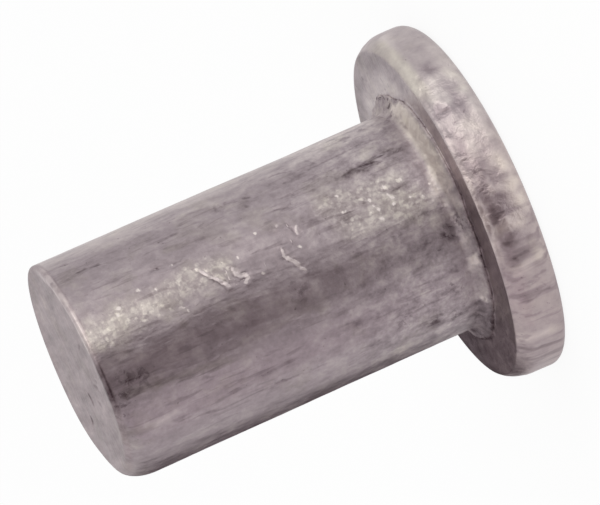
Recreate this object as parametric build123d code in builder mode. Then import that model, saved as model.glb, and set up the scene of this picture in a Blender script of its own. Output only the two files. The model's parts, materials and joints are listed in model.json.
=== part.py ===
"""Solid aluminium rivet with a flat head, cold headed from round wire.

It is one piece. The upset head has a crowned rim and a small raised collar at
the neck, left by the chamfer at the mouth of the heading die. The free end
keeps the shear cut of the wire: a flat face whose edge is rolled over deeply
on one side and stays tight on the other.

The rivet stands on the outer face of its head. The origin is the centre of
that face, and +Z runs along the axis towards the free end. All sizes are in
millimetres.
"""

from build123d import *

import os

# Shank, measured from the bearing face under the head to the cut end
shank_diameter = 6.0
shank_length = 10.2

# Head
head_diameter = 9.6
head_thickness = 1.36
bearing_diameter = 9.1  # where the flat bearing face meets the crowned rim
rim_crown_height = 0.6  # height over which the rim rolls in to the bearing face
outer_edge_round = 0.38  # round between the rim and the outer face

# Collar at the neck
collar_width = 0.45  # how far it stands out from the shank
collar_step = 0.06  # height of its upright edge on the bearing face
collar_height = 0.26  # height at which its slope runs out into the shank
neck_round = 0.18  # round where its slope meets the shank

# Cut end
end_edge_round = 0.1  # round on the tight side of the cut
rollover_width = 0.45  # how far the rollover reaches in over the cut face
rollover_depth = 0.85  # how far the rollover reaches down the shank
rollover_shift = 0.24  # how far the rollover's own axis lies off the rivet's
rollover_clearance = 0.02  # keeps the rollover's wall just off the shank

# Worked out from the sizes above
shank_radius = shank_diameter / 2
head_radius = head_diameter / 2
bearing_radius = bearing_diameter / 2
collar_radius = shank_radius + collar_width
bearing_z = head_thickness
end_z = bearing_z + shank_length


with BuildPart() as rivet:
    # The outline of half a section, from the outer face round to the cut end
    with BuildSketch(Plane.XZ):
        with BuildLine():
            outer_face = Line((0, 0), (head_radius - outer_edge_round, 0))
            outer_edge = JernArc(
                outer_face @ 1, outer_face % 1, outer_edge_round, 90
            )
            rim_foot = Line(
                outer_edge @ 1, (head_radius, head_thickness - rim_crown_height)
            )
            rim_crown = TangentArc(
                rim_foot @ 1, (bearing_radius, bearing_z), tangent=rim_foot % 1
            )
            bearing_face = Line(rim_crown @ 1, (collar_radius, bearing_z))
            collar_edge = Line(
                bearing_face @ 1, (collar_radius, bearing_z + collar_step)
            )
            collar_slope = Line(
                collar_edge @ 1, (shank_radius, bearing_z + collar_height)
            )
            shank_side = Line(collar_slope @ 1, (shank_radius, end_z))
            cut_face = Line(shank_side @ 1, (0, end_z))
            Line(cut_face @ 1, outer_face @ 0)
        make_face()
    revolve(axis=Axis.Z)

    # The slope of the collar runs out smoothly into the shank
    collar_cone = rivet.faces().filter_by(GeomType.CONE)
    fillet(collar_cone.edges().sort_by(Axis.Z)[-1], neck_round)

    # The rollover is turned about an axis of its own, so it is deepest on the
    # -X side and fades out towards +X
    rollover_wall = shank_radius + rollover_shift + rollover_clearance
    with BuildSketch(Plane.XZ.move(Location((rollover_shift, 0, 0)))):
        with BuildLine():
            rollover = EllipticalCenterArc(
                (rollover_wall - rollover_width, end_z - rollover_depth),
                rollover_width,
                rollover_depth,
                start_angle=0,
                arc_size=90,
            )
            top_side = Line(rollover @ 1, rollover @ 1 + (0, end_edge_round))
            far_side = Line(
                top_side @ 1, (rollover_wall + rollover_shift, (top_side @ 1).Y)
            )
            Polyline(
                far_side @ 1,
                (rollover_wall + rollover_shift, (rollover @ 0).Y),
                rollover @ 0,
            )
        make_face()
    revolve(axis=Axis((rollover_shift, 0, 0), (0, 0, 1)), mode=Mode.SUBTRACT)

    # What is left of the corner is rounded all the way round the shank
    shank_wall = rivet.faces().filter_by(GeomType.CYLINDER).sort_by(SortBy.AREA)[-1]
    fillet(shank_wall.edges().sort_by(Axis.Z)[-1], end_edge_round)

rivet.part.label = "rivet"

os.makedirs("parts", exist_ok=True)
export_step(rivet.part, "parts/rivet.step")
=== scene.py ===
"""Dresses the solid rivet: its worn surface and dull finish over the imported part, on a pale floor.

The file is laid out as an add-on with a panel in the 3D view's sidebar, and it
is run as a script. The rivet stands on its head with its shank upright, in the
part's own frame. Lengths are in metres; the wear rules work in millimetres.
Angles round the rivet start at its front, -Y, and grow towards +X.
"""

import json
import math
from functools import partial, reduce

import bpy
from bpy.props import FloatProperty, FloatVectorProperty, IntProperty, PointerProperty
from bpy.types import Operator, Panel, PropertyGroup
from mathutils import Matrix, Vector


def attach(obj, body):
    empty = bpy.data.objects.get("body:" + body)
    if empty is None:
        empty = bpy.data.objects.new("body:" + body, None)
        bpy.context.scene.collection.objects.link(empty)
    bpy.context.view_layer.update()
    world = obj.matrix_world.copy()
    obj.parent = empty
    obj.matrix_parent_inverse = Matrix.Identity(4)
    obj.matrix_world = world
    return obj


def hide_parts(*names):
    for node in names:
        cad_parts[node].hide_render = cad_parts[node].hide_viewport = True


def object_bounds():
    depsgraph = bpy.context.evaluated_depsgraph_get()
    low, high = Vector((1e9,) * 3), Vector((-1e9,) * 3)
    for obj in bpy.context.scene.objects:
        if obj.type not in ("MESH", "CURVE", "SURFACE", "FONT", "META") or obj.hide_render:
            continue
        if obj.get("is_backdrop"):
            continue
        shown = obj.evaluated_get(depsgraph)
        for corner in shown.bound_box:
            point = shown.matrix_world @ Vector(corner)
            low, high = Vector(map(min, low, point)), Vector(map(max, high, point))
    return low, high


bl_info = {
    "name": "Solid Rivet",
    "version": (1, 0, 0),
    "blender": (4, 5, 0),
    "location": "3D View > Sidebar > Rivet",
    "description": "Builds the worn surface and dull aluminium finish of a solid rivet",
    "category": "Object",
}

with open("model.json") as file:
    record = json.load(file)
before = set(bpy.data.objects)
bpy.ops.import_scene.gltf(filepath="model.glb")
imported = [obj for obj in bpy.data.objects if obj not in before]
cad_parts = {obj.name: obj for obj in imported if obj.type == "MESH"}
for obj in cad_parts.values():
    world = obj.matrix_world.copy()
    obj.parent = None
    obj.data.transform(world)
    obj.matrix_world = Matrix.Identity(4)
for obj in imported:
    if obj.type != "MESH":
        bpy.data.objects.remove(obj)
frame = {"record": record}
CAD_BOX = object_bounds()

NODE = "rivet"
MM = 0.001
PER_MM = 1 / MM
FLAT_FACE_Z, AXIS_TOP_Z = CAD_BOX[0].z, CAD_BOX[1].z
MOUNTS = {mount["name"]: mount for mount in frame["record"]["mounts"]}
HEAD_RADIUS = CAD_BOX[1].x
SHANK_RADIUS = MOUNTS["shank"]["dims"]["r_mm"] * MM
BEARING_Z = MOUNTS["bearing_face"]["pos_m"][2]

# The same sizes in mm, for the rules of the wear and the finish
TOP, BEARING = AXIS_TOP_Z * PER_MM, BEARING_Z * PER_MM
HEAD_R, SHANK_R = HEAD_RADIUS * PER_MM, SHANK_RADIUS * PER_MM


def number(name, description, default, **settings):
    """A property that holds a number."""
    return FloatProperty(name=name, description=description, default=default, **settings)


def length(name, description, default):
    """A property that holds a length in metres."""
    return number(name, description, default, unit="LENGTH", precision=5)


def colour(name, description, default):
    """A property that holds a colour."""
    return FloatVectorProperty(
        name=name, description=description, default=default, subtype="COLOR", min=0, max=1
    )


class RivetShape(PropertyGroup):
    """Sizes of the turned body."""

    bearing_radius: length("Bearing edge", "Radius at which the bearing face meets the rim", 4.55 * MM)
    crown_height: length("Rim crown", "Height over which the rim rolls in", 0.6 * MM)
    outer_round: length("Outer edge", "Round between the rim and the outer face", 0.38 * MM)
    outer_tight: length("Outer edge, low side", "The same round where the rim is fullest", 0.2 * MM)
    collar_width: length("Collar width", "How far the collar stands out", 0.45 * MM)
    collar_step: length("Collar step", "Height of the collar's upright edge", 0.06 * MM)
    collar_height: length("Collar height", "Height at which the collar runs out", 0.26 * MM)
    neck_round: length("Neck round", "Round where the collar meets the shank", 0.18 * MM)
    tight_round: length("Tight edge", "Round on the tight side of the cut", 0.09 * MM)
    rolled_width: length("Rollover width", "Reach of the rollover over the cut", 0.42 * MM)
    rolled_depth: length("Rollover depth", "Reach of the rollover down the shank", 0.85 * MM)
    columns: IntProperty(
        name="Columns", description="Faces round the rivet", default=480, min=24, max=480
    )


class RivetWear(PropertyGroup):
    """Depths of the marks on the surface."""

    draw_lines: length("Draw lines", "Depth of the lines along the shank", 0.01 * MM)
    waves: length("Waves", "Depth of the slow unevenness of the shank", 0.03 * MM)
    collar_ragged: length("Ragged collar", "Unevenness of the collar", 0.11 * MM)
    collar_spread: length("Collar spread", "How much further the collar stands out in front", 0.34 * MM)
    lean_neck: length("Shank off at the neck", "How far the shank is off the head's axis", 0.113 * MM)
    lean_end: length("Shank off at the end", "How far the cut end is off the head's axis", 0.06 * MM)
    swell: length("Swell", "How much the shank widens towards the cut end", 0.026 * MM)
    rim_lines: length("Rim lines", "Depth of the lines across the rim", 0.018 * MM)
    rim_flats: length("Rim flats", "Depth of the slow unevenness of the rim", 0.05 * MM)
    dents: length("Dents", "Depth of the dents in the rim", 0.045 * MM)
    nicks: length("Nicks", "Depth of the nicks in the shank", 0.03 * MM)
    cut_face: length("Cut face", "Unevenness of the cut face", 0.05 * MM)
    seed: IntProperty(name="Seed", description="Draw of the random wear", default=4)


class RivetFinish(PropertyGroup):
    """Colours of the dull metal."""

    metal: colour("Metal", "Colour of the dull metal", (0.36, 0.305, 0.322))
    # The warm colour also tints painted highlights
    warm: colour("Warm metal", "Colour of the dull metal where it has yellowed", (0.356, 0.308, 0.3))
    ruddy: colour("Ruddy metal", "Colour of the dull metal on the cut and on the head", (0.366, 0.298, 0.31))
    # The bright colour also shows the painted highlights and the glints
    bright: colour("Bright metal", "Colour where it is rubbed bright", (0.7, 0.632, 0.61))
    # The bared colour also shows the lip's painted highlight
    bared: colour("Bared metal", "Colour of the metal in fresh nicks", (0.57, 0.5, 0.5))
    stain: colour("Stain", "Colour of the darkest stains", (0.085, 0.06, 0.068))
    edge_tint: colour("Edge tint", "Tint of the metal where it is seen at a low angle", (0.97, 0.95, 0.95))
    mottling: number("Mottling", "How strongly the metal is mottled", 1.0, min=0, max=3)
    streaks: number("Streaks", "How dark the streaks along the shank are", 1.0, min=0, max=3)
    roughness: number("Roughness", "Roughness of the metal", 0.42, min=0, max=1)


class RivetStage(PropertyGroup):
    """The floor, the light and the camera."""

    floor: colour("Floor", "Colour of the floor", (0.9, 0.9, 0.9))
    floor_glow: number(
        "Floor white", "Share of plain white in what the camera sees of the floor", 0.9,
        min=0, max=1, subtype="FACTOR",
    )
    world: colour("Surroundings", "Colour of the light all round", (0.93, 0.93, 0.93))
    key_power: number("Key light", "Power of the main soft light", 0.055, unit="POWER")
    tilt: number("Camera height", "Angle of the view over the floor", math.radians(11.8), subtype="ANGLE")
    roll: number("Camera roll", "How far the shank lies over", math.radians(24.19), subtype="ANGLE")
    distance: length("Camera distance", "From the camera to the rivet", 157.2 * MM)
    lens: number("Lens", "Focal length", 367.9, unit="CAMERA")


# ---- node trees


class Rule:
    """Writes nodes into a tree, so that a rule reads like a formula."""

    def __init__(self, tree):
        self.tree = tree

    def node(self, kind, inputs=(), **settings):
        made = self.tree.nodes.new(kind)
        for name, value in settings.items():
            setattr(made, name, value)
        for key, value in dict(inputs).items():
            self.feed(made.inputs[key], value)
        return made

    def feed(self, socket, value):
        if isinstance(value, bpy.types.NodeSocket):
            self.tree.links.new(value, socket)
        else:
            socket.default_value = value

    def math(self, operation, *values, clamp=False):
        inputs = dict(enumerate(values))
        return self.node("ShaderNodeMath", inputs, operation=operation, use_clamp=clamp).outputs[0]

    def times(self, *values):
        return reduce(partial(self.math, "MULTIPLY"), values)

    def add(self, *terms):
        """The sum of the terms. A tuple stands for the product of its values."""
        values = [self.times(*term) if isinstance(term, tuple) else term for term in terms]
        return reduce(partial(self.math, "ADD"), values)

    def less(self, a, b):
        return self.math("SUBTRACT", a, b)

    def most(self, *values):
        return reduce(partial(self.math, "MAXIMUM"), values)

    def vector(self, operation, *values):
        sockets = (0, "Scale") if operation == "SCALE" else range(3)
        made = self.node("ShaderNodeVectorMath", zip(sockets, values), operation=operation)
        return made.outputs["Value" if operation == "LENGTH" else "Vector"]

    def xyz(self, vector):
        return self.node("ShaderNodeSeparateXYZ", {"Vector": vector}).outputs

    def join(self, x, y, z):
        return self.node("ShaderNodeCombineXYZ", {"X": x, "Y": y, "Z": z}).outputs[0]

    def along(self, place, share):
        """A place with a share of its height, so that a pattern is drawn out along the shank."""
        return self.vector("MULTIPLY", place, (1.0, 1.0, share))

    def span(self, value, start, end, low=0.0, high=1.0, smooth=True):
        """Grows from low at start to high at end, and stays level outside."""
        inputs = {"Value": value, "From Min": start, "From Max": end, "To Min": low, "To Max": high}
        kind = "SMOOTHSTEP" if smooth else "LINEAR"
        return self.node("ShaderNodeMapRange", inputs, interpolation_type=kind).outputs["Result"]

    def band(self, value, start, full, fade, end):
        """1 between full and fade, and 0 outside start and end."""
        return self.times(self.span(value, start, full), self.span(value, end, fade))

    def noise(self, place, scale, detail=2.0, roughness=0.5, distortion=0.0, **draw):
        """Soft noise from 0 to 1. Where a draw is given as W, noise of that draw."""
        inputs = {"Vector": place, "Scale": scale, "Detail": detail, "Roughness": roughness, **draw}
        inputs["Distortion"] = distortion
        size = "4D" if draw else "3D"
        return self.node("ShaderNodeTexNoise", inputs, noise_dimensions=size).outputs[0]

    def cells(self, place, scale):
        """Round cells: how far a point is from the middle of its cell, and a number of the cell's own."""
        made = self.node("ShaderNodeTexVoronoi", {"Vector": place, "Scale": scale})
        return made.outputs["Distance"], self.xyz(made.outputs["Color"])["X"]

    def blend(self, share, a, b, data_type="FLOAT"):
        """From a to b by the share. A Mix node has its own sockets for each type."""
        first, output = {"FLOAT": (2, 0), "VECTOR": (4, 1), "RGBA": (6, 2)}[data_type]
        inputs = {0: share, first: a, first + 1: b}
        return self.node("ShaderNodeMix", inputs, data_type=data_type, clamp_factor=True).outputs[output]


class Ground:
    """Where a point is: in mm, its heights and distance from the axis, and its angle in degrees."""

    def __init__(self, rule, place):
        self.place = place
        self.mm = rule.vector("SCALE", place, PER_MM)
        x, y, self.z = rule.xyz(self.mm)
        self.above = rule.less(self.z, BEARING)
        self.flat = rule.join(x, y, 0.0)
        self.r = rule.vector("LENGTH", self.flat)
        self.degrees = rule.math("DEGREES", rule.math("ARCTAN2", x, rule.times(y, -1.0)))


# ---- turned section


def run(start, end, steps, ease=1.0):
    """Points on a line after its start. An ease above 1 draws them closer to the start."""
    shares = [(step / steps) ** ease for step in range(1, steps + 1)]
    return [(start[0] + (end[0] - start[0]) * s, start[1] + (end[1] - start[1]) * s) for s in shares]


def turn(centre, radii, first, last, steps):
    """Points on an elliptical arc after its start, with the angles in degrees."""
    angles = [math.radians(first + (last - first) * step / steps) for step in range(1, steps + 1)]
    return [(centre[0] + radii[0] * math.cos(a), centre[1] + radii[1] * math.sin(a)) for a in angles]


def crown_radius(shape):
    """Radius of the arc with which the rim rolls in towards the bearing face."""
    inset = HEAD_RADIUS - shape.bearing_radius
    return (inset**2 + shape.crown_height**2) / (2 * inset)


def section(shape, outer_round, end_width, end_depth):
    """Half a section through the rivet, from the outer face round to the cut end, as (radius, height)."""
    foot = FLAT_FACE_Z + outer_round
    crown_start = BEARING_Z - shape.crown_height
    crown = crown_radius(shape)
    crown_angle = math.degrees(math.asin(shape.crown_height / crown))
    collar_radius = SHANK_RADIUS + shape.collar_width
    step_top = BEARING_Z + shape.collar_step
    slope_rise = shape.collar_height - shape.collar_step
    slope = math.degrees(math.atan2(shape.collar_width, slope_rise))
    reach = shape.neck_round * math.tan(math.radians(slope / 2))
    neck_z = BEARING_Z + shape.collar_height + reach
    slope_end = (
        SHANK_RADIUS + reach * math.sin(math.radians(slope)),
        BEARING_Z + shape.collar_height - reach * math.cos(math.radians(slope)),
    )
    wall_top = AXIS_TOP_Z - end_depth
    cut_radius = SHANK_RADIUS - end_width

    points = [(0.0, FLAT_FACE_Z)]
    points += run(points[-1], (HEAD_RADIUS - outer_round, FLAT_FACE_Z), 10, 0.6)
    points += turn((HEAD_RADIUS - outer_round, foot), [outer_round] * 2, -90, 0, 8)
    points += run(points[-1], (HEAD_RADIUS, crown_start), 2)
    points += turn((HEAD_RADIUS - crown, crown_start), [crown] * 2, 0, crown_angle, 24)
    points += run(points[-1], (collar_radius, BEARING_Z), 16, 1.4)
    points += run(points[-1], (collar_radius, step_top), 2)
    points += run(points[-1], slope_end, 9)
    points += turn((SHANK_RADIUS + shape.neck_round, neck_z), [shape.neck_round] * 2, 180 + slope, 180, 5)
    points += run(points[-1], (SHANK_RADIUS, wall_top), 100)
    points += turn((cut_radius, wall_top), (end_width, end_depth), 0, 90, 14)
    points += run(points[-1], (0.0, AXIS_TOP_Z), 14, 1.3)
    return points


def placed(name, data):
    """A new object of the scene that shows the data."""
    made = bpy.data.objects.new(name, data)
    bpy.context.scene.collection.objects.link(made)
    return made


def section_curves(shape):
    """Both sections as one curve: through the tight side of the cut, then through the rolled side."""
    sections = [
        section(shape, shape.outer_round, shape.tight_round, shape.tight_round),
        section(shape, shape.outer_tight, shape.rolled_width, shape.rolled_depth),
    ]
    data = bpy.data.curves.new("rivet_sections", "CURVE")
    data.dimensions = "3D"
    for points in sections:
        spline = data.splines.new("POLY")
        spline.points.add(len(points) - 1)
        for point, (radius, height) in zip(spline.points, points):
            point.co = (radius, 0.0, height, 1.0)
    return placed("rivet_body", data), len(sections[0])


# ---- body and wear

# Inputs of the wear tree, and the properties of RivetWear that they take their values from
WEAR_INPUTS = {key.replace("_", " ").title(): key for key in RivetWear.__annotations__}
# Width at which the points along the body's seam and at its poles become one
SEAM_GAP = 0.0005 * MM
# How far the light and dark smears reach from their middle lines
SHANK_SMEAR, RIM_SMEAR = 0.17 * MM, 0.27 * MM
# How a pattern is drawn out round the rim, and across the cut
DRAWN_OUT, SHEARED = (1.0, 0.5, 0.8), (1.0, 0.2, 1.0)

# Stretches round the rivet, in degrees: where each starts, is full, fades and ends
HAMMERED_RIM = (-32, -12, 50, 75)
RUBBLED_RIM = (-22, -8, 42, 60)
# Painted highlight on the rim near its outer face
RIM_HIGHLIGHT = (-26, -8, 45, 65)
YELLOW_CROWN = (30, 42, 72, 90)
RUDDY_HEAD = (-130, -90, 5, 32)
# Painted shade on the bearing face, low in front
BEARING_SHADE = (-50, -34, -22, 0)
SPREAD_COLLAR = (-10, 8, 40, 75)
HELD_COLLAR = (-120, -50, -30, -8)
TORN_COLLAR = (2, 22, 50, 85)
DARK_COLLAR = (-115, -95, -60, -44)
ROUGH_SHANK = (14, 30, 70, 90)
# The shank's upper side, lightened: painted highlight
SHANK_TOP_HIGHLIGHT = (55, 78, 110, 130)
# The middle of the shank's highlight band is dimmed with painted shade
HIGHLIGHT_DIMMED_ANGLES = (-2, 10, 26, 36)
# Painted highlight along the cut's edge on its upper side, and a painted shade line below it in front
LIP_HIGHLIGHT = (6, 18, 62, 85)
LIP_SHADE = (-24, -14, -2, 4)
# Heights of the painted shade that dims the middle of the shank's highlight band, in mm, in the same way
HIGHLIGHT_DIMMED_HEIGHTS = (4.2, 5.2, 6.8, 8)

# Nicks in the shank: the points of their strokes, as (angle in degrees, height in mm)
NICKS = [
    [(23.5, 8.1), (19, 8), (15, 7.8), (10, 7.6)],
    [(17, 7.35), (13, 7.3), (12, 7.1), (9.5, 7.1), (8, 7.2)],
    [(16, 6), (12, 6), (8.5, 5.85), (2.5, 5.7)],
    [(28.5, 5.82)],
    [(24, 5.4), (20, 5.44)],
    [(150, 7.2), (158, 6.9)],
]
# Scores in the shank, in the same way
SCORES = [
    [(63, 11.1), (63, 10.9)],
    [(52.5, 10.85), (52, 10.55), (51, 10.2)],
    [(39.5, 5.05), (39, 4.1), (41, 3.15), (43.5, 2.4), (43, 2.1)],
    [(53.5, 4.3), (54, 3.8), (55, 3.3), (56, 2.6)],
    [(54.5, 5.45), (54.5, 5.25), (52, 5)],
    [(62.5, 5.5), (61, 5), (58.5, 4.75)],
    [(61, 4.15), (56.5, 4.05), (55.5, 4.2)],
    [(64, 3.05), (62, 2.6)],
    [(25, 3.75), (23.5, 3), (21, 2.5)],
    [(58, 6.9), (52.5, 6.95), (50.5, 6.8), (56, 6.6)],
    [(37, 11.1), (36, 10.95)],
    [(33.5, 9.2), (33, 9)],
    [(54, 6.15), (52, 6)],
    [(47, 6.25), (45.5, 6.1)],
    [(25, 8.22), (21.5, 8.12), (16.5, 7.96), (12.5, 7.76), (8.5, 7.7)],
    [(27.5, 5.6), (25, 5.57), (22, 5.52)],
    [(13.5, 7.4), (11.5, 7.3), (10, 7.22)],
    [(42.5, 5.35), (42, 5)],
    [(38, 5.65), (36.5, 5.3)],
    [(-47, 7.4), (-49, 5.9)],
    [(-75.5, 9.6), (-76, 8.6)],
    [(130, 8), (127, 4)],
    [(-140, 9.5), (-137, 6)],
]
# Scores across the rim
RIM_SCORES = [
    [(28.5, 1.2), (28.5, 0.9)],
    [(27, 1.25), (26.5, 1.1)],
    [(-22.5, 1), (-22, 0.55)],
    [(-32.5, 0.95), (-31.5, 0.6), (-31, 0.3)],
    [(-34, 1.1), (-33.5, 0.8), (-33, 0.55)],
    [(-39, 1), (-38.5, 0.8), (-37, 0.3)],
    [(-45, 1.05), (-44.5, 0.75), (-44.5, 0.5)],
    [(-150, 1), (-149, 0.5)],
    [(140, 0.9), (141, 0.4)],
]
# Bright points in the shank: (angle in degrees, height in mm)
GLINTS = [
    (32, 8.7), (26.5, 9.7), (23.5, 9.3), (16, 8.8), (7.5, 8.85), (10, 9), (19, 10.5),
    (22, 10.4), (21.5, 7.1), (14, 5.55), (29.5, 6.4), (9, 6.7), (29.5, 4.1), (25, 3.35),
    (25, 2.9), (24.5, 2.4), (17.5, 2.45), (17.5, 2.85), (14.5, 2.4), (12.5, 2.1), (14.5, 2.9),
    (14.5, 3.3), (9.5, 3.3), (21, 4.1), (21, 3.4), (17.5, 3.35), (20, 2.9), (17, 1.8),
]
# Light smears, partly pale marks and partly painted highlights: the cut end's corner, and on the rim its lit
# edge, its bright stretch and near its outer face
SHANK_PALE = [
    [(61.5, 7.95), (62.5, 7.2), (62, 6.95), (57, 6.8)],
    [(60, 8.5), (57.5, 8.3)],
    [(38.5, 6.9), (37.5, 6.6)],
    [(35.5, 6.95), (34, 6.8)],
    [(27, 7.15), (23.5, 7), (21.5, 6.75), (21.5, 6.5)],
    [(21.5, 7.6), (21, 7.35), (22, 6.9), (20.5, 6.2)],
    [(64.5, 5.35), (62.5, 4.9)],
    [(63, 3.95), (63, 3.7)],
    [(-37, 11.15), (-38, 10.5), (-36.5, 9.8)],
    [(12.5, 11.45), (16, 11.2), (14, 10.8), (15.5, 10.3), (18.5, 9.7)],
    [(140, 9), (142, 8)],
]
# Light on the collar: a painted highlight along its ridge, then two light flakes: (angle in degrees,
# distance from the axis and height in mm)
COLLAR_PALE = [
    [
        (67.5, 3.22, 1.52), (55, 3.36, 1.46), (47, 3.2, 1.53), (34, 3.25, 1.5), (25, 3.15, 1.55),
        (16, 3, 1.72), (9.5, 3, 1.9), (3.5, 3, 2.06), (-3, 3, 2.24),
    ],
    [(-25.5, 3.25, 1.5), (-26.5, 3.1, 1.6)],
    [(-50, 3.25, 1.5), (-50.5, 3.1, 1.6)],
]
RIM_PALE = [
    [(77, 0.95), (66, 1.1), (58, 1.2), (51, 1.2), (41, 1.28)],
    [(41, 0.48), (37, 0.15)],
    [(40, 1.2), (40, 0.85)],
    [(34.5, 1.05), (36, 0.85), (34, 0.8)],
    [(30.5, 0.75), (30.5, 0.85)],
    [(33, 0.25)],
    [(20.5, 0.8), (18.5, 0.65)],
    [(16, 0.9), (14, 0.8)],
    [(7, 0.4), (5, 0.33)],
    [(-0.5, 0.25), (-2.5, 0.4)],
    [(-6.5, 0.2), (-7.5, 0.33)],
    [(-1.2, 0.9), (-1.2, 0.67)],
    [(-12.5, 1.05), (-11.5, 0.8), (-12, 0.57)],
    [(-20.5, 0.5), (-24, 0.3)],
    [(5.5, 1.31), (-8, 1.31), (-20.5, 1.31)],
    [(-27.5, 1.05), (-26.5, 0.65), (-25.5, 0.35)],
    [(-55, 1.3), (-55, 1), (-54.5, 0.7), (-54.5, 0.4)],
    [(105, 0.9), (115, 0.8)],
    [(-130, 0.6), (-138, 0.9)],
    [(165, 0.5), (172, 0.8)],
]
# Dark smears on the shank, and on the rim: dark marks, with painted shade at the neck and a painted dark
# reflection in the middle of the rim in front
SHANK_DARK = [
    [(-17.5, 11.1), (-19, 10.3), (-20.5, 9.4), (-23, 8.3)],
    [(42, 8.55), (40.5, 8.1), (40, 7.6)],
    [(-33, 5.6), (-36, 3.4)],
    [(47, 6.25), (53, 6.1)],
    [(13.5, 9.35)],
    [(2, 9.1)],
    [(8.5, 1.6)],
    [(1, 2.3)],
    [(-5.5, 1.85), (-7.5, 1.78)],
    [(-9.5, 2.6), (-10, 2.1), (-13.5, 1.8)],
    [(-53.5, 1.7), (-57, 2.1), (-56, 2.3)],
    [(-63, 1.9), (-66, 1.6)],
    [(2, 2.9)],
    [(-38, 11.3), (-39, 10.75)],
    [(-100, 6), (-101, 4)],
]
RIM_DARK = [
    [(46, 0.8), (44, 0.65)],
    [(28.5, 1.2), (28.5, 0.9)],
    [(33, 0.5), (29, 0.55), (25.5, 0.6)],
    [(15, 1.18), (16, 1.07)],
    [(7.5, 1.1), (3, 1.02), (-3, 0.98), (-10, 1.02)],
    [(4, 0.72), (0, 0.74), (-6, 0.8), (-9.5, 0.86)],
    [(8, 0.88), (4, 0.9)],
    [(1.5, 1.2), (-4, 1.18)],
    [(-15.5, 1.08), (-16.5, 0.95), (-16.5, 0.76)],
    [(-23, 1.03), (-22, 0.53)],
    [(125, 0.7), (131, 0.9)],
    [(-115, 0.9), (-120, 0.6)],
    [(-165, 0.8), (-171, 0.6)],
]
# Outline of a flake at the collar: (angle in degrees, distance from the axis and height in mm)
FLAKE = [
    (57, 3.6, 1.41), (69.5, 3.47, 1.41), (77, 3.33, 1.45), (83, 3.43, 1.43), (94, 3.43, 1.43),
    (80, 3.18, 1.6), (73.5, 3.2, 1.57), (72.5, 3.27, 1.5), (69.5, 3.47, 1.41),
]
# Dents in the rim: (angle in degrees, height in mm)
DENTS = [
    (3, 0.8), (-3.5, 0.87), (-8.5, 0.95), (-16.5, 0.97), (28.5, 1.05), (29, 0.55), (45, 0.7),
    (-62, 0.7), (110, 0.8), (150, 0.6), (-120, 0.9), (-160, 0.7),
]
# Pits in the cut face: (angle in degrees, distance from the axis in mm)
PITS = [
    (20, 1.9), (-8, 2), (-15, 1.7), (-18, 2.05), (-35, 1.5), (-70, 0.7),
    (60, 1.2), (120, 1.8), (170, 0.9), (-130, 1.6),
]
# Dark spots at the neck and under the cut, grime with painted shade: (angle in degrees, height in mm)
GRIME_AND_SHADE = [
    (-6, 1.62), (-9, 1.95), (-44, 3.7), (-56, 2.3), (-52, 2.9), (-37, 2.2), (72, 2.4),
    (66, 1.6), (140, 1.9), (-120, 1.8),
    (-10, 11), (-15, 11.2), (-13, 10.6), (-24, 11.4), (-5, 6.1),
]
# Patches of the shank that are rubbed bright along its highlight band, with painted highlight: the ends of
# their middle lines, as the nicks have
RUBBED_AND_HIGHLIGHT = [
    ((14, 11.5), (16, 10)), ((16, 10), (19.5, 8.6)), ((19.5, 8.6), (20, 7.6)),
    ((14, 4.1), (10, 2.4)), ((26, 4.4), (23, 2.7)),
]


def on_wall(radius, angle, height):
    """A point in metres on an upright wall, from an angle in degrees and a height in mm."""
    turned = math.radians(angle)
    return (radius * math.sin(turned), -radius * math.cos(turned), height * MM)


def pieces_of(lines):
    """The straight pieces of lines of points, each as its two ends. A lone point is one piece."""
    return [piece for line in lines for piece in zip(line, line[1:] or line)]


def strokes(marks, radius=SHANK_RADIUS):
    """The straight pieces of the marks on the shank, or on another wall round its axis."""
    return pieces_of([[on_wall(radius, *point) for point in mark] for mark in marks])


def free_strokes(marks):
    """The straight pieces of marks whose points also give their distance from the axis, in mm."""
    return pieces_of([[on_wall(away * MM, angle, height) for angle, away, height in mark] for mark in marks])


def rim_strokes(marks, shape):
    """The straight pieces of the marks on the rim, on its crown where they are high enough."""
    radius, rise = crown_radius(shape), shape.crown_height
    lines = []
    for mark in marks:
        above = [max(height * MM - BEARING_Z + rise, 0) for _, height in mark]
        radii = [HEAD_RADIUS - radius + math.sqrt(radius**2 - up**2) for up in above]
        lines.append([on_wall(away, *point) for away, point in zip(radii, mark)])
    return pieces_of(lines)


def way_from(rule, pieces, place):
    """The way from the nearest of the pieces to a place. A piece is a line between two points."""
    joined = rule.node("GeometryNodeJoinGeometry")
    for start, end in pieces:
        inputs = {"Start Location": start, "Offset": end, "Count": 2}
        line = rule.node("GeometryNodeMeshLine", inputs, mode="END_POINTS")
        rule.tree.links.new(line.outputs[0], joined.inputs[0])
    inputs = {0: joined.outputs[0], 2: place}
    near = rule.node("GeometryNodeProximity", inputs, target_element="EDGES").outputs["Position"]
    return rule.vector("SUBTRACT", place, near)


def distance_to(rule, pieces, place):
    """The distance from the nearest of the pieces to a place."""
    return rule.vector("LENGTH", way_from(rule, pieces, place))


def smeared(rule, pieces, place, reach):
    """How near a place is to the pieces: 1 on them, falling to 0 at the reach."""
    return rule.span(distance_to(rule, pieces, place), reach, 0, smooth=False)


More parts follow.
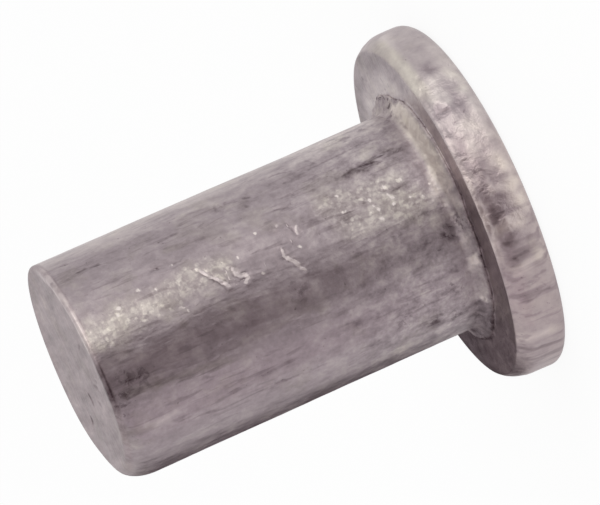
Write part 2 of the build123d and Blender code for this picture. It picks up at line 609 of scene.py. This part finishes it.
class WearRule(Rule):
    """Rules of the wear tree, which know its inputs and where a point of the body is."""

    def __init__(self, tree):
        super().__init__(tree)
        self.given = self.node("NodeGroupInput").outputs
        self.at = Ground(self, self.node("GeometryNodeInputPosition").outputs[0])
        self.outward = self.vector("NORMALIZE", self.at.flat)
        self.swayed = self.sway(self.at.place, 2.2, 0.16 * MM)
        self.nick_place = self.sway(self.swayed, 6, 0.1 * MM)
        self.smear_place = self.sway(self.swayed, 6, 0.2 * MM)

    def sway(self, place, scale, reach):
        """The place, shifted at random by up to half the reach each way."""
        noise = self.node("ShaderNodeTexNoise", {"Vector": self.at.mm, "Scale": scale, "Detail": 2.0})
        shift = self.vector("SUBTRACT", noise.outputs["Color"], (0.5, 0.5, 0.5))
        return self.vector("ADD", place, self.vector("SCALE", shift, reach))

    def rough(self, place, scale, detail=2, roughness=0.5, distortion=0, lift=-0.5):
        """Noise of the wear's own seed. At the usual lift it swings as far out as in."""
        noise = self.noise(place, scale, detail, roughness, distortion, W=self.given["Seed"])
        return self.add(noise, lift)


def turned_body(rule, rows):
    """Turns the sections into a closed body. The grid's first side runs round it, its second along it."""
    given = rule.given
    grid = rule.node("GeometryNodeMeshGrid", {
        "Size X": 1, "Size Y": 1, "Vertices X": rule.add(given["Columns"], 1), "Vertices Y": rows,
    }).outputs["Mesh"]
    position = rule.at.place
    across, along, _ = rule.xyz(position)
    angle = rule.times(rule.add(across, 0.5), math.tau)
    row = rule.math("ROUND", rule.times(rule.add(along, 0.5), rows - 1))
    tight, rolled = [
        rule.node("GeometryNodeSampleIndex", {
            "Geometry": given["Sections"], "Value": position, "Index": rule.add(row, first),
        }, data_type="FLOAT_VECTOR").outputs[0]
        for first in (0, rows)
    ]
    sine, cosine = rule.math("SINE", angle), rule.math("COSINE", angle)
    radius, _, height = rule.xyz(rule.blend(rule.span(sine, -0.25, -1), tight, rolled, "VECTOR"))
    place = rule.join(rule.times(radius, sine), rule.times(radius, cosine, -1), height)
    turned = rule.node("GeometryNodeSetPosition", {"Geometry": grid, "Position": place}).outputs[0]
    inputs = {"Geometry": turned, "Distance": SEAM_GAP}
    return rule.node("GeometryNodeMergeByDistance", inputs).outputs[0]


def shank_wear(rule, shape):
    """The shank's draw lines, waves, nicks and scores: their depth, and the ways to the last two."""
    given, at = rule.given, rule.at
    shank = rule.times(
        rule.band(at.z, BEARING + 0.5, BEARING + 0.9, TOP - 0.7, TOP - 0.2),
        rule.span(at.r, SHANK_R - 0.5, SHANK_R - 0.1),
    )
    lines = rule.times(rule.rough(rule.along(at.mm, 0.04), 3, 2, 0.55), given["Draw Lines"], 1.2)
    waves = rule.times(rule.rough(rule.along(at.mm, 0.4), 0.8), given["Waves"], 2)
    peened = rule.times(rule.rough(at.mm, 4.5, 3, 0.6), given["Draw Lines"], 1.2)
    nick_way = way_from(rule, strokes(NICKS), rule.nick_place)
    to_nick = rule.vector("LENGTH", nick_way)
    groove = rule.span(to_nick, 0.09 * MM, 0.02 * MM)
    bank = rule.span(to_nick, 0.17 * MM, 0.07 * MM)
    nicked = rule.times(rule.less(rule.times(bank, 0.6), rule.times(groove, 1.2)), given["Nicks"])
    score_way = way_from(rule, strokes(SCORES) + rim_strokes(RIM_SCORES, shape), rule.swayed)
    to_score = rule.vector("LENGTH", score_way)
    scored = rule.times(rule.span(to_score, 0.08 * MM, 0), given["Nicks"], -0.25)
    depth = rule.times(rule.add(lines, waves, peened, nicked, scored), shank)
    return depth, {"nick_way": nick_way, "score_way": score_way}


def rim_wear(rule, shape):
    """The rim's lines, flats and dents, none of them standing proud: their depth, and the dents."""
    given, at = rule.given, rule.at
    rim = rule.times(rule.span(at.r, HEAD_R - 0.3, HEAD_R - 0.15), rule.band(at.z, 0.2, 0.45, 1.25, 1.38))
    low_side = rule.add(0.25, (rule.span(at.degrees, -5, -25), 0.75))
    crossing = rule.rough(rule.along(at.mm, 0.12), 3.2, 3, 0.6, 0.3, -0.62)
    lines = rule.times(crossing, given["Rim Lines"], 1.8, low_side)
    flats = rule.times(rule.rough(at.mm, 0.9, lift=-0.6), given["Rim Flats"], 1.2)
    drawn_out = rule.vector("MULTIPLY", at.mm, DRAWN_OUT)
    worked = rule.add((rule.band(at.degrees, *HAMMERED_RIM), 0.75), 0.25)
    hammering = rule.times(rule.rough(drawn_out, 2.1, 2, 0.5, 0.2, -0.6), worked, given["Dents"], 3)
    grain = rule.times(rule.rough(drawn_out, 4.5, lift=-0.6), given["Rim Lines"], 0.5)
    to_dent = distance_to(rule, rim_strokes([[dent] for dent in DENTS], shape), rule.swayed)
    reach = rule.times(rule.add((rule.rough(at.mm, 2.5, 3), 2.4), 1), 0.26 * MM)
    dent = rule.span(to_dent, 0, reach, 1, 0)
    hollows = rule.less(rule.add(lines, flats, hammering, grain), rule.times(dent, given["Dents"], 0.8))
    return rule.times(rule.math("MINIMUM", hollows, 0), rim), {"dent": rule.times(dent, rim)}


def collar_wear(rule, shape):
    """The collar's torn skin: its depth, how its edge is pushed over the bearing face, and its marks, with a
    painted shadow line at its foot.
    """
    given, at = rule.given, rule.at
    collar_r = SHANK_R + shape.collar_width * PER_MM
    skin = rule.band(at.above, 0.01, 0.04, 0.25, 0.5)
    collar = rule.times(skin, rule.span(at.r, collar_r + 0.1, collar_r + 0.02))
    ragged = rule.times(rule.rough(at.mm, 4, 4, 0.7, 0.6), given["Collar Ragged"], 1.6, collar)
    held_in = rule.times(rule.band(at.degrees, *HELD_COLLAR), 0.4)
    spread = rule.times(rule.less(rule.band(at.degrees, *SPREAD_COLLAR), held_in), given["Collar Spread"])
    wander = rule.times(rule.rough(rule.outward, 3.5, 4, 0.65), given["Collar Ragged"], 4)
    edge = rule.times(
        rule.band(at.r, SHANK_R + 0.02, collar_r - 0.02, collar_r + 0.02, HEAD_R - 0.35),
        rule.band(at.above, -0.1, -0.02, 0.1, 0.25),
    )
    pushed = rule.times(rule.add(spread, wander), edge)
    # A painted shadow line at the collar's foot, which only the finish reads
    crease_shadow = rule.times(
        rule.band(at.r, collar_r - 0.1, collar_r - 0.01, collar_r + 0.02, collar_r + 0.08),
        rule.span(rule.rough(at.mm, 2), -0.15, 0.1, 0.25, 1),
        rule.band(at.above, -0.1, -0.05, 0.06, 0.12),
    )
    return ragged, rule.vector("SCALE", rule.outward, pushed), {"collar": collar, "crease_shadow": crease_shadow}


def cut_wear(rule):
    """The uneven cut face and its pits: their depth, and the pits."""
    at, amount = rule.at, rule.given["Cut Face"]
    cut = rule.times(rule.span(at.z, TOP - 0.12, TOP - 0.01), rule.span(at.r, SHANK_R, SHANK_R - 0.5))
    uneven = rule.times(rule.rough(at.mm, 0.7, 3, 0.55, lift=-0.8), amount)
    pits = free_strokes([[(angle, away, TOP)] for angle, away in PITS])
    pit = rule.span(distance_to(rule, pits, rule.swayed), 0.11 * MM, 0.02 * MM)
    return rule.times(rule.less(uneven, rule.times(pit, amount, 0.8)), cut), {"pit": rule.times(pit, cut)}


def tone_marks(rule, shape):
    """Marks of tone alone: smears, partly painted highlight and shade; glints; rubbed patches with painted
    highlight; grime with painted shade.
    """
    pale, shaded = [
        rule.most(
            smeared(rule, on_shank, rule.smear_place, SHANK_SMEAR),
            smeared(rule, rim_strokes(on_rim, shape), rule.swayed, RIM_SMEAR),
        )
        for on_shank, on_rim in (
            (strokes(SHANK_PALE) + free_strokes(COLLAR_PALE), RIM_PALE), (strokes(SHANK_DARK), RIM_DARK)
        )
    ]
    to_glint = distance_to(rule, strokes([[glint] for glint in GLINTS]), rule.swayed)
    # Rubbed patches along the highlight band: partly rubbed metal, partly painted highlight
    to_rubbed_and_sheen = distance_to(rule, strokes(RUBBED_AND_HIGHLIGHT), rule.swayed)
    frayed = rule.add(to_rubbed_and_sheen, (rule.rough(rule.at.mm, 1.5, 3), 0.5 * MM))
    rubbed_and_sheen = rule.span(frayed, 0.62 * MM, 0.15 * MM)
    # Dark spots at the neck and under the cut: grime with painted shade
    spots = strokes([[spot] for spot in GRIME_AND_SHADE], SHANK_RADIUS + 0.2 * MM)
    grime_and_shade = rule.span(distance_to(rule, spots, rule.swayed), 0.5 * MM, 0.08 * MM)
    return {"pale": pale, "shaded": shaded, "to_glint": to_glint, "rubbed_and_sheen": rubbed_and_sheen, "grime_and_shade": grime_and_shade}


def shank_shift(rule):
    """The shank stands a little off the head's axis, and widens towards its end."""
    given, at = rule.given, rule.at
    on_neck = rule.times(rule.span(at.above, -0.12, -0.02), rule.span(at.r, HEAD_R - 0.35, SHANK_R + 0.5))
    up_shank = rule.span(at.z, BEARING, TOP, smooth=False)
    lean = rule.times(rule.blend(up_shank, given["Lean Neck"], given["Lean End"]), on_neck)
    swell = rule.times(up_shank, given["Swell"], rule.math("DIVIDE", at.r, SHANK_R), on_neck)
    return rule.vector("SUBTRACT", rule.vector("SCALE", rule.outward, swell), rule.join(lean, 0, 0))


def wear_tree(shape, rows):
    """Geometry Nodes: turns the sections into the body and works the wear into its surface."""
    tree = bpy.data.node_groups.new("turned_rivet", "GeometryNodeTree")
    kinds = {"Sections": "Geometry", **dict.fromkeys(WEAR_INPUTS, "Float")}
    kinds.update({"Columns": "Int", "Seed": "Int", "Material": "Material"})
    for name, kind in kinds.items():
        tree.interface.new_socket(name, in_out="INPUT", socket_type="NodeSocket" + kind)
    tree.interface.new_socket("Body", in_out="OUTPUT", socket_type="NodeSocketGeometry")
    rule = WearRule(tree)
    body = turned_body(rule, rows)

    on_shank, shank_ways = shank_wear(rule, shape)
    on_rim, rim_marks = rim_wear(rule, shape)
    on_collar, pushed, collar_marks = collar_wear(rule, shape)
    on_cut, cut_marks = cut_wear(rule)
    fields = {**rim_marks, **collar_marks, **cut_marks, **tone_marks(rule, shape)}
    body = stored(rule, body, "FLOAT", fields)
    body = stored(rule, body, "FLOAT_VECTOR", {
        "place": rule.vector("ADD", rule.at.place, pushed),
        "flake_way": way_from(rule, free_strokes([FLAKE]), rule.swayed),
        **shank_ways,
    })

    normal = rule.node("GeometryNodeInputNormal").outputs[0]
    depth = rule.add(on_shank, on_rim, on_collar, on_cut)
    offset = rule.vector("ADD", rule.vector("SCALE", normal, depth), pushed)
    for shift in (offset, shank_shift(rule)):
        body = rule.node("GeometryNodeSetPosition", {"Geometry": body, "Offset": shift}).outputs[0]
    smooth = rule.node("GeometryNodeSetShadeSmooth", {"Geometry": body}).outputs[0]
    real = rule.node("GeometryNodeRealizeInstances", {"Geometry": smooth}).outputs[0]
    inputs = {"Geometry": real, "Material": rule.given["Material"]}
    rule.node("NodeGroupOutput", {"Body": rule.node("GeometryNodeSetMaterial", inputs).outputs[0]})
    return tree


def stored(rule, body, kind, fields):
    """Keeps the fields on the body's points, for the finish to read."""
    for name, field in fields.items():
        inputs = {"Geometry": body, "Name": name, "Value": field}
        store = rule.node("GeometryNodeStoreNamedAttribute", inputs, data_type=kind, domain="POINT")
        body = store.outputs[0]
    return body


def evaluate(piece):
    """Turns a piece with modifiers into a plain mesh of the same name."""
    graph = bpy.context.evaluated_depsgraph_get()
    mesh = bpy.data.meshes.new_from_object(piece.evaluated_get(graph), depsgraph=graph)
    name, data = piece.name, piece.data
    bpy.data.objects.remove(piece)
    bpy.data.curves.remove(data)
    mesh.name = name
    return placed(name, mesh)


# ---- finish

# Marks that the wear tree leaves on a point for the finish
KEPT_MARKS = ("dent", "grime_and_shade", "crease_shadow", "pit", "collar", "rubbed_and_sheen", "to_glint", "pale", "shaded")


def blank_material(name):
    """A material with an empty node tree, and the rule that writes into it."""
    material = bpy.data.materials.new(name)
    material.use_nodes = True
    material.node_tree.nodes.clear()
    return material, Rule(material.node_tree)


def aluminium(finish):
    """Dull aluminium: its tone, painted highlights and shade included, is set from dark stains to bright
    rubbed metal, and the colour follows.
    """
    material, rule = blank_material("dull_aluminium")
    add, times, less, noise = rule.add, rule.times, rule.less, rule.noise
    span, band = rule.span, rule.band

    def kept(name, output="Fac"):
        """What the wear tree has stored under a name."""
        return rule.node("ShaderNodeAttribute", attribute_name=name).outputs[output]

    def swing(value, amount):
        """Turns a noise into a swing to both sides of nothing."""
        return times(less(value, 0.5), amount)

    # Where a point was before the wear, and which part of the rivet it is on
    at = Ground(rule, kept("place", "Vector"))
    mm, z, above, r, degrees = at.mm, at.z, at.above, at.r, at.degrees
    on_cut = span(z, TOP - 0.2, TOP - 0.1)
    lip_place = add(r, swing(noise(mm, 2.2, 3), 0.34))
    lip = times(span(z, TOP - 0.15, TOP - 0.09), span(lip_place, SHANK_R - 0.26, SHANK_R - 0.15))
    on_shank = times(span(above, 0.3, 0.8), less(1, on_cut))
    on_head = span(above, 0.1, 0.05)
    on_rim = times(on_head, span(r, HEAD_R - 0.35, HEAD_R - 0.2))
    on_bearing = times(on_head, span(r, HEAD_R - 0.22, HEAD_R - 0.3), span(z, 1, 1.2))
    neck = times(span(above, 1, 0.3), less(1, on_head))
    near_head = span(z, 6.5, 2.4)
    near_cut = span(z, 9.9, 11.3)

    # Marks that the wear tree has left
    dent, grime_and_shade, crease_shadow, pit, collar, rubbed_and_sheen, to_glint, pale, shaded = [kept(name) for name in KEPT_MARKS]
    wobble = swing(noise(mm, 7), 0.12)
    breaks = noise(mm, 3)

    def stroke(name, half, fade):
        """How far a point is inside the strokes of a kind, its side of them, and its distance."""
        way = kept(name, "Vector")
        away = add((rule.vector("LENGTH", way), PER_MM), wobble)
        return span(away, half + fade, half), times(rule.xyz(way)["X"], PER_MM), away

    nick, beside, from_nick = stroke("nick_way", 0.02, 0.04)
    nick = times(nick, span(breaks, 0.3, 0.5, 0.45, 1))
    nick_shade = times(
        band(from_nick, 0.045, 0.065, 0.085, 0.14), span(beside, -0.005, -0.03),
        span(breaks, 0.4, 0.6, 0.3, 1),
    )
    score = times(stroke("score_way", 0.004, 0.06)[0], span(breaks, 0.36, 0.56, 0.15, 1))
    flake = times(stroke("flake_way", 0, 0.03)[0], span(breaks, 0.3, 0.5, 0.2, 1))
    glint = span(add((to_glint, PER_MM), wobble), 0.07, 0.03)

    # Patterns: soft streaks and thin dark lines along the axis, mottling and grain
    def drawn(shortening, *settings):
        """Noise that is drawn out along the shank."""
        return noise(rule.along(mm, shortening), *settings)

    soft_streaks = drawn(0.2, 2.4, 2, 0.5, 0.5)
    thin_lines = drawn(0.15, 7, 1, 0.5, 0.6)
    hatch = drawn(0.16, 3.6, 2, 0.5, 0.3)
    relief = drawn(0.5, 2.6, 2, 0.5, 0.4)
    rubble = noise(rule.vector("MULTIPLY", mm, DRAWN_OUT), 3, 4, 0.58, 0.3)
    patches = noise(mm, 0.7)
    blotches = drawn(0.7, 1.3, 3, 0.6, 0.5)
    mottle = drawn(0.8, 2.8, 3, 0.55, 0.3)
    cracks = drawn(0.26, 4.5, 3, 0.6, 1)
    bundles = drawn(0.22, 1.3, 2, 0.5, 0.3)
    yellowing = noise(mm, 1.1, 3, 0.6)
    grain = noise(mm, 9, 3, 0.6)
    specks = noise(mm, 7)
    crumbs = span(noise(mm, 5, 3, 0.6, 0.4), 0.5, 0.4)
    sheared = noise(rule.vector("MULTIPLY", mm, SHEARED), 2.4, 5, 0.65, 0.2)
    grouped = span(drawn(0.45, 0.9, 1), 0.42, 0.6)
    # Cells and flecks for the painted sparkle in the rubbed patches
    to_dot, draw = rule.cells(mm, 4.8)
    uneven = less(noise(mm, 9), 0.5)
    sparkle_dots = times(span(add(to_dot, uneven), 0.4, 0.12), span(draw, 0.15, 0.75))
    sparkle_flecks = span(noise(mm, 6, 2, 0.55, 0.2), 0.46, 0.64)

    # How strongly each pattern shows: the shank is roughest near the head and on its upper side
    upper_side = add(0.35, (band(degrees, *ROUGH_SHANK), 0.65))
    torn = times(band(degrees, *TORN_COLLAR), span(above, 0.36, 0.24), span(above, 0.05, 0.12))
    worked = times(on_rim, add(0.25, (band(degrees, *RUBBLED_RIM), 0.75)))
    spotted = times(add(0.9, (near_head, on_shank, 1.15), (on_rim, -0.3)), finish.mottling)
    bundled = times(span(bundles, 0.46, 0.6), add(0.5, (near_head, 0.8)), upper_side, on_shank)
    # The cut's edge gets a painted highlight on its upper side
    lip_highlight = times(lip, band(degrees, *LIP_HIGHLIGHT), span(breaks, 0.35, 0.55, 0.35, 1))

    # Where the metal is lighter than its middle tone: its own marks, and painted light on the rim, the
    # shank's upper side, the rubbed patches, the lip and the bearing face
    mottled = add(swing(patches, 0.14), swing(blotches, 0.26), swing(mottle, 0.44), swing(grain, 0.24))
    # The whole rim is lifted, and more near its outer face: painted light
    rim_highlight = add(0.13, (span(z, 0.6, 0.25), band(degrees, *RIM_HIGHLIGHT), 0.14))
    # Rubbed patches lie along the highlight band: lighter near the head and the cut, with painted sparkle
    rubbed_and_sheen_lift = add((near_head, 0.07), (near_cut, 0.08), (sparkle_flecks, 0.17), (sparkle_dots, 0.36))
    lighter = add(
        0.5,
        (mottled, spotted),
        (swing(soft_streaks, 0.3), on_shank),
        (swing(sheared, 0.8), add(on_cut, on_bearing)),
        (swing(rubble, 0.6), add(worked, (neck, 0.6), collar)),
        # Painted light on the rim
        (on_rim, rim_highlight),
        (collar, add(0.14, (torn, 0.22))),
        # Pale smears with painted highlights, strongest on the collar's ridge
        (pale, add(0.12, (on_rim, 0.13), (neck, 0.4))),
        # The shank's upper side lightened: painted highlight
        (on_shank, band(degrees, *SHANK_TOP_HIGHLIGHT), 0.24),
        # Rubbed patches with painted highlight and sparkle, and the lip's painted highlight
        (rubbed_and_sheen, rubbed_and_sheen_lift), (lip_highlight, 0.16),
        # Painted light on the bearing face's upper side in front
        (on_bearing, span(degrees, -2, 26), 0.27),
    )

    # Where it is darker: stains and marks, and painted shade at the neck, the collar's foot, the dents, the
    # bearing face, the lip and the middle of the highlight band
    # Painted shade on the bearing face: darker all over, more low in front and near the rim high up
    bearing_shade = add(
        0.08,
        (band(degrees, *BEARING_SHADE), 0.06),
        (span(degrees, 38, 56), span(r, 3.75, 4.2), 0.25),
    )
    darker = add(
        (span(thin_lines, 0.54, 0.72), grouped, on_shank, 0.14 * finish.streaks),
        (bundled, 0.06 * finish.streaks),
        (bundled, span(cracks, 0.5, 0.66), 0.24 * finish.streaks),
        (span(hatch, 0.48, 0.66), on_rim, span(degrees, 10, -20), 0.2),
        # Darker in the dents of the rim: painted shade
        (dent, on_rim, 0.04),
        (span(specks, 0.3, 0.22), 0.2),
        (span(specks, 0.38, 0.3), on_bearing, 0.12),
        # The collar's foot gets a painted shadow line
        (score, 0.16), (flake, 0.35), (nick_shade, 0.12), (crease_shadow, 0.25), (pit, 0.3), (on_cut, 0.09),
        # Dark smears, stronger on the rim and at the neck: there partly painted shade and reflection
        (shaded, add(0.13, (on_rim, 0.09), (neck, 0.17))),
        (collar, band(degrees, *DARK_COLLAR), 0.32),
        (on_rim, span(degrees, -44, -56), 0.07),
        # Painted shade that dims the middle of the highlight band
        (on_shank, band(z, *HIGHLIGHT_DIMMED_HEIGHTS), band(degrees, *HIGHLIGHT_DIMMED_ANGLES), 0.07),
        # Dark spots at the neck and under the cut: grime with painted shade
        (grime_and_shade, add(0.09, (crumbs, 0.28))),
        (on_bearing, bearing_shade),
        # A painted shade line under the cut's edge in front
        (lip, band(degrees, *LIP_SHADE), 0.3),
    )

    # The colour of each tone, then the tints, the bared metal and the glints over it
    tone = rule.math("SUBTRACT", lighter, darker, clamp=True)
    ramp = rule.node("ShaderNodeValToRGB", {"Fac": tone})
    stops = ramp.color_ramp.elements
    stops.new(0.5)
    for stop, shade in zip(stops, (finish.stain, finish.metal, finish.bright)):
        stop.color = (*shade, 1)
    crowned = times(on_rim, span(z, 0.95, 1.15), band(degrees, *YELLOW_CROWN))
    less_on_rim = less(1, times(on_rim, 0.6))
    yellowed = add(
        (span(yellowing, 0.5, 0.68, 0, 0.5), less_on_rim),
        # Rubbed patches, partly painted highlight, take the warm tint
        (rubbed_and_sheen, 0.65), (crowned, 0.9), (collar, torn, 0.5),
        # Cream tint of the painted highlights near the rim's outer face
        (pale, on_rim, span(z, 0.6, 0.4), 0.5),
        (shaded, on_shank, span(z, 7.5, 8.5), 0.8),
    )
    reddened = add((on_cut, 0.7), (on_head, band(degrees, *RUDDY_HEAD)))
    shade = ramp.outputs[0]
    for share, tinted in ((yellowed, finish.warm), (reddened, finish.ruddy)):
        tint = [part / plain for part, plain in zip(tinted, finish.metal)]
        shade = rule.blend(share, shade, rule.vector("MULTIPLY", shade, tint), "RGBA")
    # The lip's painted highlight takes the bared colour too
    bared = rule.most(nick, times(lip_highlight, 0.7))
    for share, metal in ((bared, finish.bared), (glint, finish.bright)):
        shade = rule.blend(share, shade, (*metal, 1), "RGBA")

    # Gloss and relief. Bumps: the height, its strength and its depth in mm
    roughness = add(
        swing(mottle, 0.2), swing(patches, 0.15), (rubbed_and_sheen, -0.05), (collar, 0.25),
        finish.roughness,
    )
    sunken = add((nick, 0.5), (score, -0.4), (flake, -0.6))
    rubbled = rule.most(worked, collar, times(neck, 0.6))
    plainer = less(1, rule.most(rubbled, times(on_rim, 0.6)))
    bumps = [
        (times(relief, plainer), 0.5, 0.05),
        (times(rubble, rubbled), 0.7, 0.085),
        (add(thin_lines, cracks), 0.2, 0.02),
        (add(grain, (specks, rubbed_and_sheen, 2)), 0.4, 0.012),
        (sunken, 0.5, 0.02),
    ]
    normal = None
    for height, strength, deep in bumps:
        bump = rule.node("ShaderNodeBump", {"Strength": strength, "Distance": deep * MM, "Height": height})
        if normal:
            rule.feed(bump.inputs["Normal"], normal)
        normal = bump.outputs[0]
    shader = rule.node("ShaderNodeBsdfPrincipled", {
        "Base Color": shade, "Metallic": 1, "Roughness": roughness, "Normal": normal,
        "Specular Tint": (*finish.edge_tint, 1),
    })
    rule.node("ShaderNodeOutputMaterial", {"Surface": shader.outputs[0]})
    return material


def floor_finish(stage):
    """Pale floor: it takes the rivet's shadow, and is white to the camera and in the metal."""
    material, rule = blank_material("pale_floor")
    path = rule.node("ShaderNodeLightPath").outputs
    seen = rule.most(path["Is Camera Ray"], path["Is Glossy Ray"], path["Is Transmission Ray"])
    matt = rule.node("ShaderNodeBsdfDiffuse", {"Color": (*stage.floor, 1)}).outputs[0]
    white = rule.node("ShaderNodeEmission", {"Color": (1, 1, 1, 1), "Strength": 1.0}).outputs[0]
    mixed = rule.node("ShaderNodeMixShader", {0: rule.times(seen, stage.floor_glow), 1: matt, 2: white})
    rule.node("ShaderNodeOutputMaterial", {"Surface": mixed.outputs[0]})
    return material


def plain_matt(name, shade):
    """A plain matt finish of one colour."""
    material, rule = blank_material(name)
    matt = rule.node("ShaderNodeBsdfDiffuse", {"Color": (*shade, 1)}).outputs[0]
    rule.node("ShaderNodeOutputMaterial", {"Surface": matt})
    return material


# ---- stage and operators

# Cards: name, colour, the angles of their sides in degrees, distance from the axis and height
CARDS = [
    ("front_card", (0.36, 0.3, 0.31), -37.0, 8.0, 16 * MM, 15 * MM),
    ("side_card", (1.0, 0.94, 0.98), -80.0, -46.0, 17 * MM, 15 * MM),
    ("back_card", (0.09, 0.06, 0.075), -184.0, -121.0, 15 * MM, 12 * MM),
]
# The key light: length of its sides, colour, and its place in metres, degrees and mm
KEY_SIDE = 0.12
KEY_COLOUR = (1.0, 0.985, 0.92)
KEY_PLACE = (0.15, 42.0, 55.0)
FLOOR_HALF = 1.5
# The point that the camera looks at, and the nearest and furthest that it sees
CAMERA_AIM = (0.49 * MM, 0.0, 4.995 * MM)
CAMERA_SIGHT = (0.01, 10.0)


class RIVET_OT_body(Operator):
    """Builds the worn body of the rivet in place of its plain solid"""

    bl_idname = "rivet.body"
    bl_label = "Build Body"

    def execute(self, context):
        scene = context.scene
        sections, rows = section_curves(scene.rivet_shape)
        tree = wear_tree(scene.rivet_shape, rows)
        modifier = sections.modifiers.new("wear", "NODES")
        modifier.node_group = tree
        values = {name: getattr(scene.rivet_wear, key) for name, key in WEAR_INPUTS.items()}
        values["Columns"] = scene.rivet_shape.columns
        values["Material"] = aluminium(scene.rivet_finish)
        for item in tree.interface.items_tree:
            if item.name in values:
                modifier[item.identifier] = values[item.name]
        body = evaluate(sections)
        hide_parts(NODE)
        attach(body, "root")
        return {"FINISHED"}


class RIVET_OT_stage(Operator):
    """Sets up the pale floor, the soft light and the camera"""

    bl_idname = "rivet.stage"
    bl_label = "Set Stage"

    def execute(self, context):
        scene = context.scene
        stage = scene.rivet_stage
        add_floor(stage)
        add_cards()
        add_light(stage)
        add_camera(stage)
        scene.view_settings.view_transform = "Standard"
        return {"FINISHED"}


def panel_mesh(name, corners, material):
    """A flat stage piece with the given corners."""
    mesh = bpy.data.meshes.new(name)
    mesh.from_pydata(corners, [], [range(len(corners))])
    mesh.materials.append(material)
    made = placed(name, mesh)
    made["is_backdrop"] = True
    return made


def add_floor(stage):
    """The floor that the rivet stands on."""
    half = FLOOR_HALF
    corners = [(-half, -half, 0), (half, -half, 0), (half, half, 0), (-half, half, 0)]
    panel_mesh("floor", corners, floor_finish(stage))


def add_cards():
    """Cards round the rivet, which only the metal sees: they give it its dark and light bands."""
    for name, shade, angle_from, angle_to, away, rise in CARDS:
        left, right = [on_wall(away, angle, 0.0) for angle in (angle_from, angle_to)]
        top = Vector((0, 0, rise))
        corners = [left, right, tuple(Vector(right) + top), tuple(Vector(left) + top)]
        card = panel_mesh(name, corners, plain_matt(name + "_matt", shade))
        card.visible_camera = False
        card.visible_diffuse = False
        card.visible_shadow = False


def add_light(stage):
    """Soft light all round, and one large soft lamp."""
    world = bpy.data.worlds.new("soft_surroundings")
    world.use_nodes = True
    world.node_tree.nodes["Background"].inputs["Color"].default_value = (*stage.world, 1.0)
    bpy.context.scene.world = world
    lamp = bpy.data.lights.new("key_light", "AREA")
    lamp.shape = "RECTANGLE"
    lamp.size, lamp.size_y = KEY_SIDE, KEY_SIDE
    lamp.energy = stage.key_power
    lamp.color = KEY_COLOUR
    made = placed("key_light", lamp)
    made.location = Vector(on_wall(*KEY_PLACE))
    aim = Vector((0, 0, AXIS_TOP_Z / 2)) - made.location
    made.rotation_euler = aim.to_track_quat("-Z", "Y").to_euler()


def add_camera(stage):
    """The camera looks down on the rivet, and is rolled so that the shank lies over in its view."""
    tilt, roll = stage.tilt, stage.roll
    back = Vector((0.0, -math.cos(tilt), math.sin(tilt)))
    level_up = Vector((0.0, math.sin(tilt), math.cos(tilt)))
    side = Vector((1.0, 0.0, 0.0))
    up = side * math.cos(roll) - level_up * math.sin(roll)
    turned = Matrix((up.cross(back), up, back)).transposed().to_4x4()
    camera = placed("camera", bpy.data.cameras.new("camera"))
    camera.data.lens = stage.lens
    camera.data.clip_start, camera.data.clip_end = CAMERA_SIGHT
    camera.matrix_world = Matrix.Translation(Vector(CAMERA_AIM) + back * stage.distance) @ turned
    bpy.context.scene.camera = camera


class RIVET_PT_sidebar(Panel):
    """Lists the rivet's sizes and its steps"""

    bl_idname = "RIVET_PT_sidebar"
    bl_label = "Solid Rivet"
    bl_space_type = "VIEW_3D"
    bl_region_type = "UI"
    bl_category = "Rivet"

    def draw(self, context):
        for groups, step in STEPS:
            box = self.layout.box()
            for group in groups:
                values = getattr(context.scene, group)
                for key in values.__annotations__:
                    box.prop(values, key)
            box.operator(step.bl_idname)


GROUPS = {
    "rivet_shape": RivetShape, "rivet_wear": RivetWear,
    "rivet_finish": RivetFinish, "rivet_stage": RivetStage,
}
STEPS = [
    (("rivet_shape", "rivet_wear", "rivet_finish"), RIVET_OT_body),
    (("rivet_stage",), RIVET_OT_stage),
]
CLASSES = [*GROUPS.values(), RIVET_OT_body, RIVET_OT_stage, RIVET_PT_sidebar]


def register():
    for cls in CLASSES:
        bpy.utils.register_class(cls)
    for name, group in GROUPS.items():
        setattr(bpy.types.Scene, name, PointerProperty(type=group))


def unregister():
    for name in GROUPS:
        delattr(bpy.types.Scene, name)
    for cls in reversed(CLASSES):
        bpy.utils.unregister_class(cls)


def main():
    register()
    bpy.ops.rivet.body()
    bpy.ops.rivet.stage()
    boxes = {"cad": CAD_BOX, "visual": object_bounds()}
    {name: [list(corner) for corner in box] for name, box in boxes.items()}


if __name__ == "__main__":
    main()
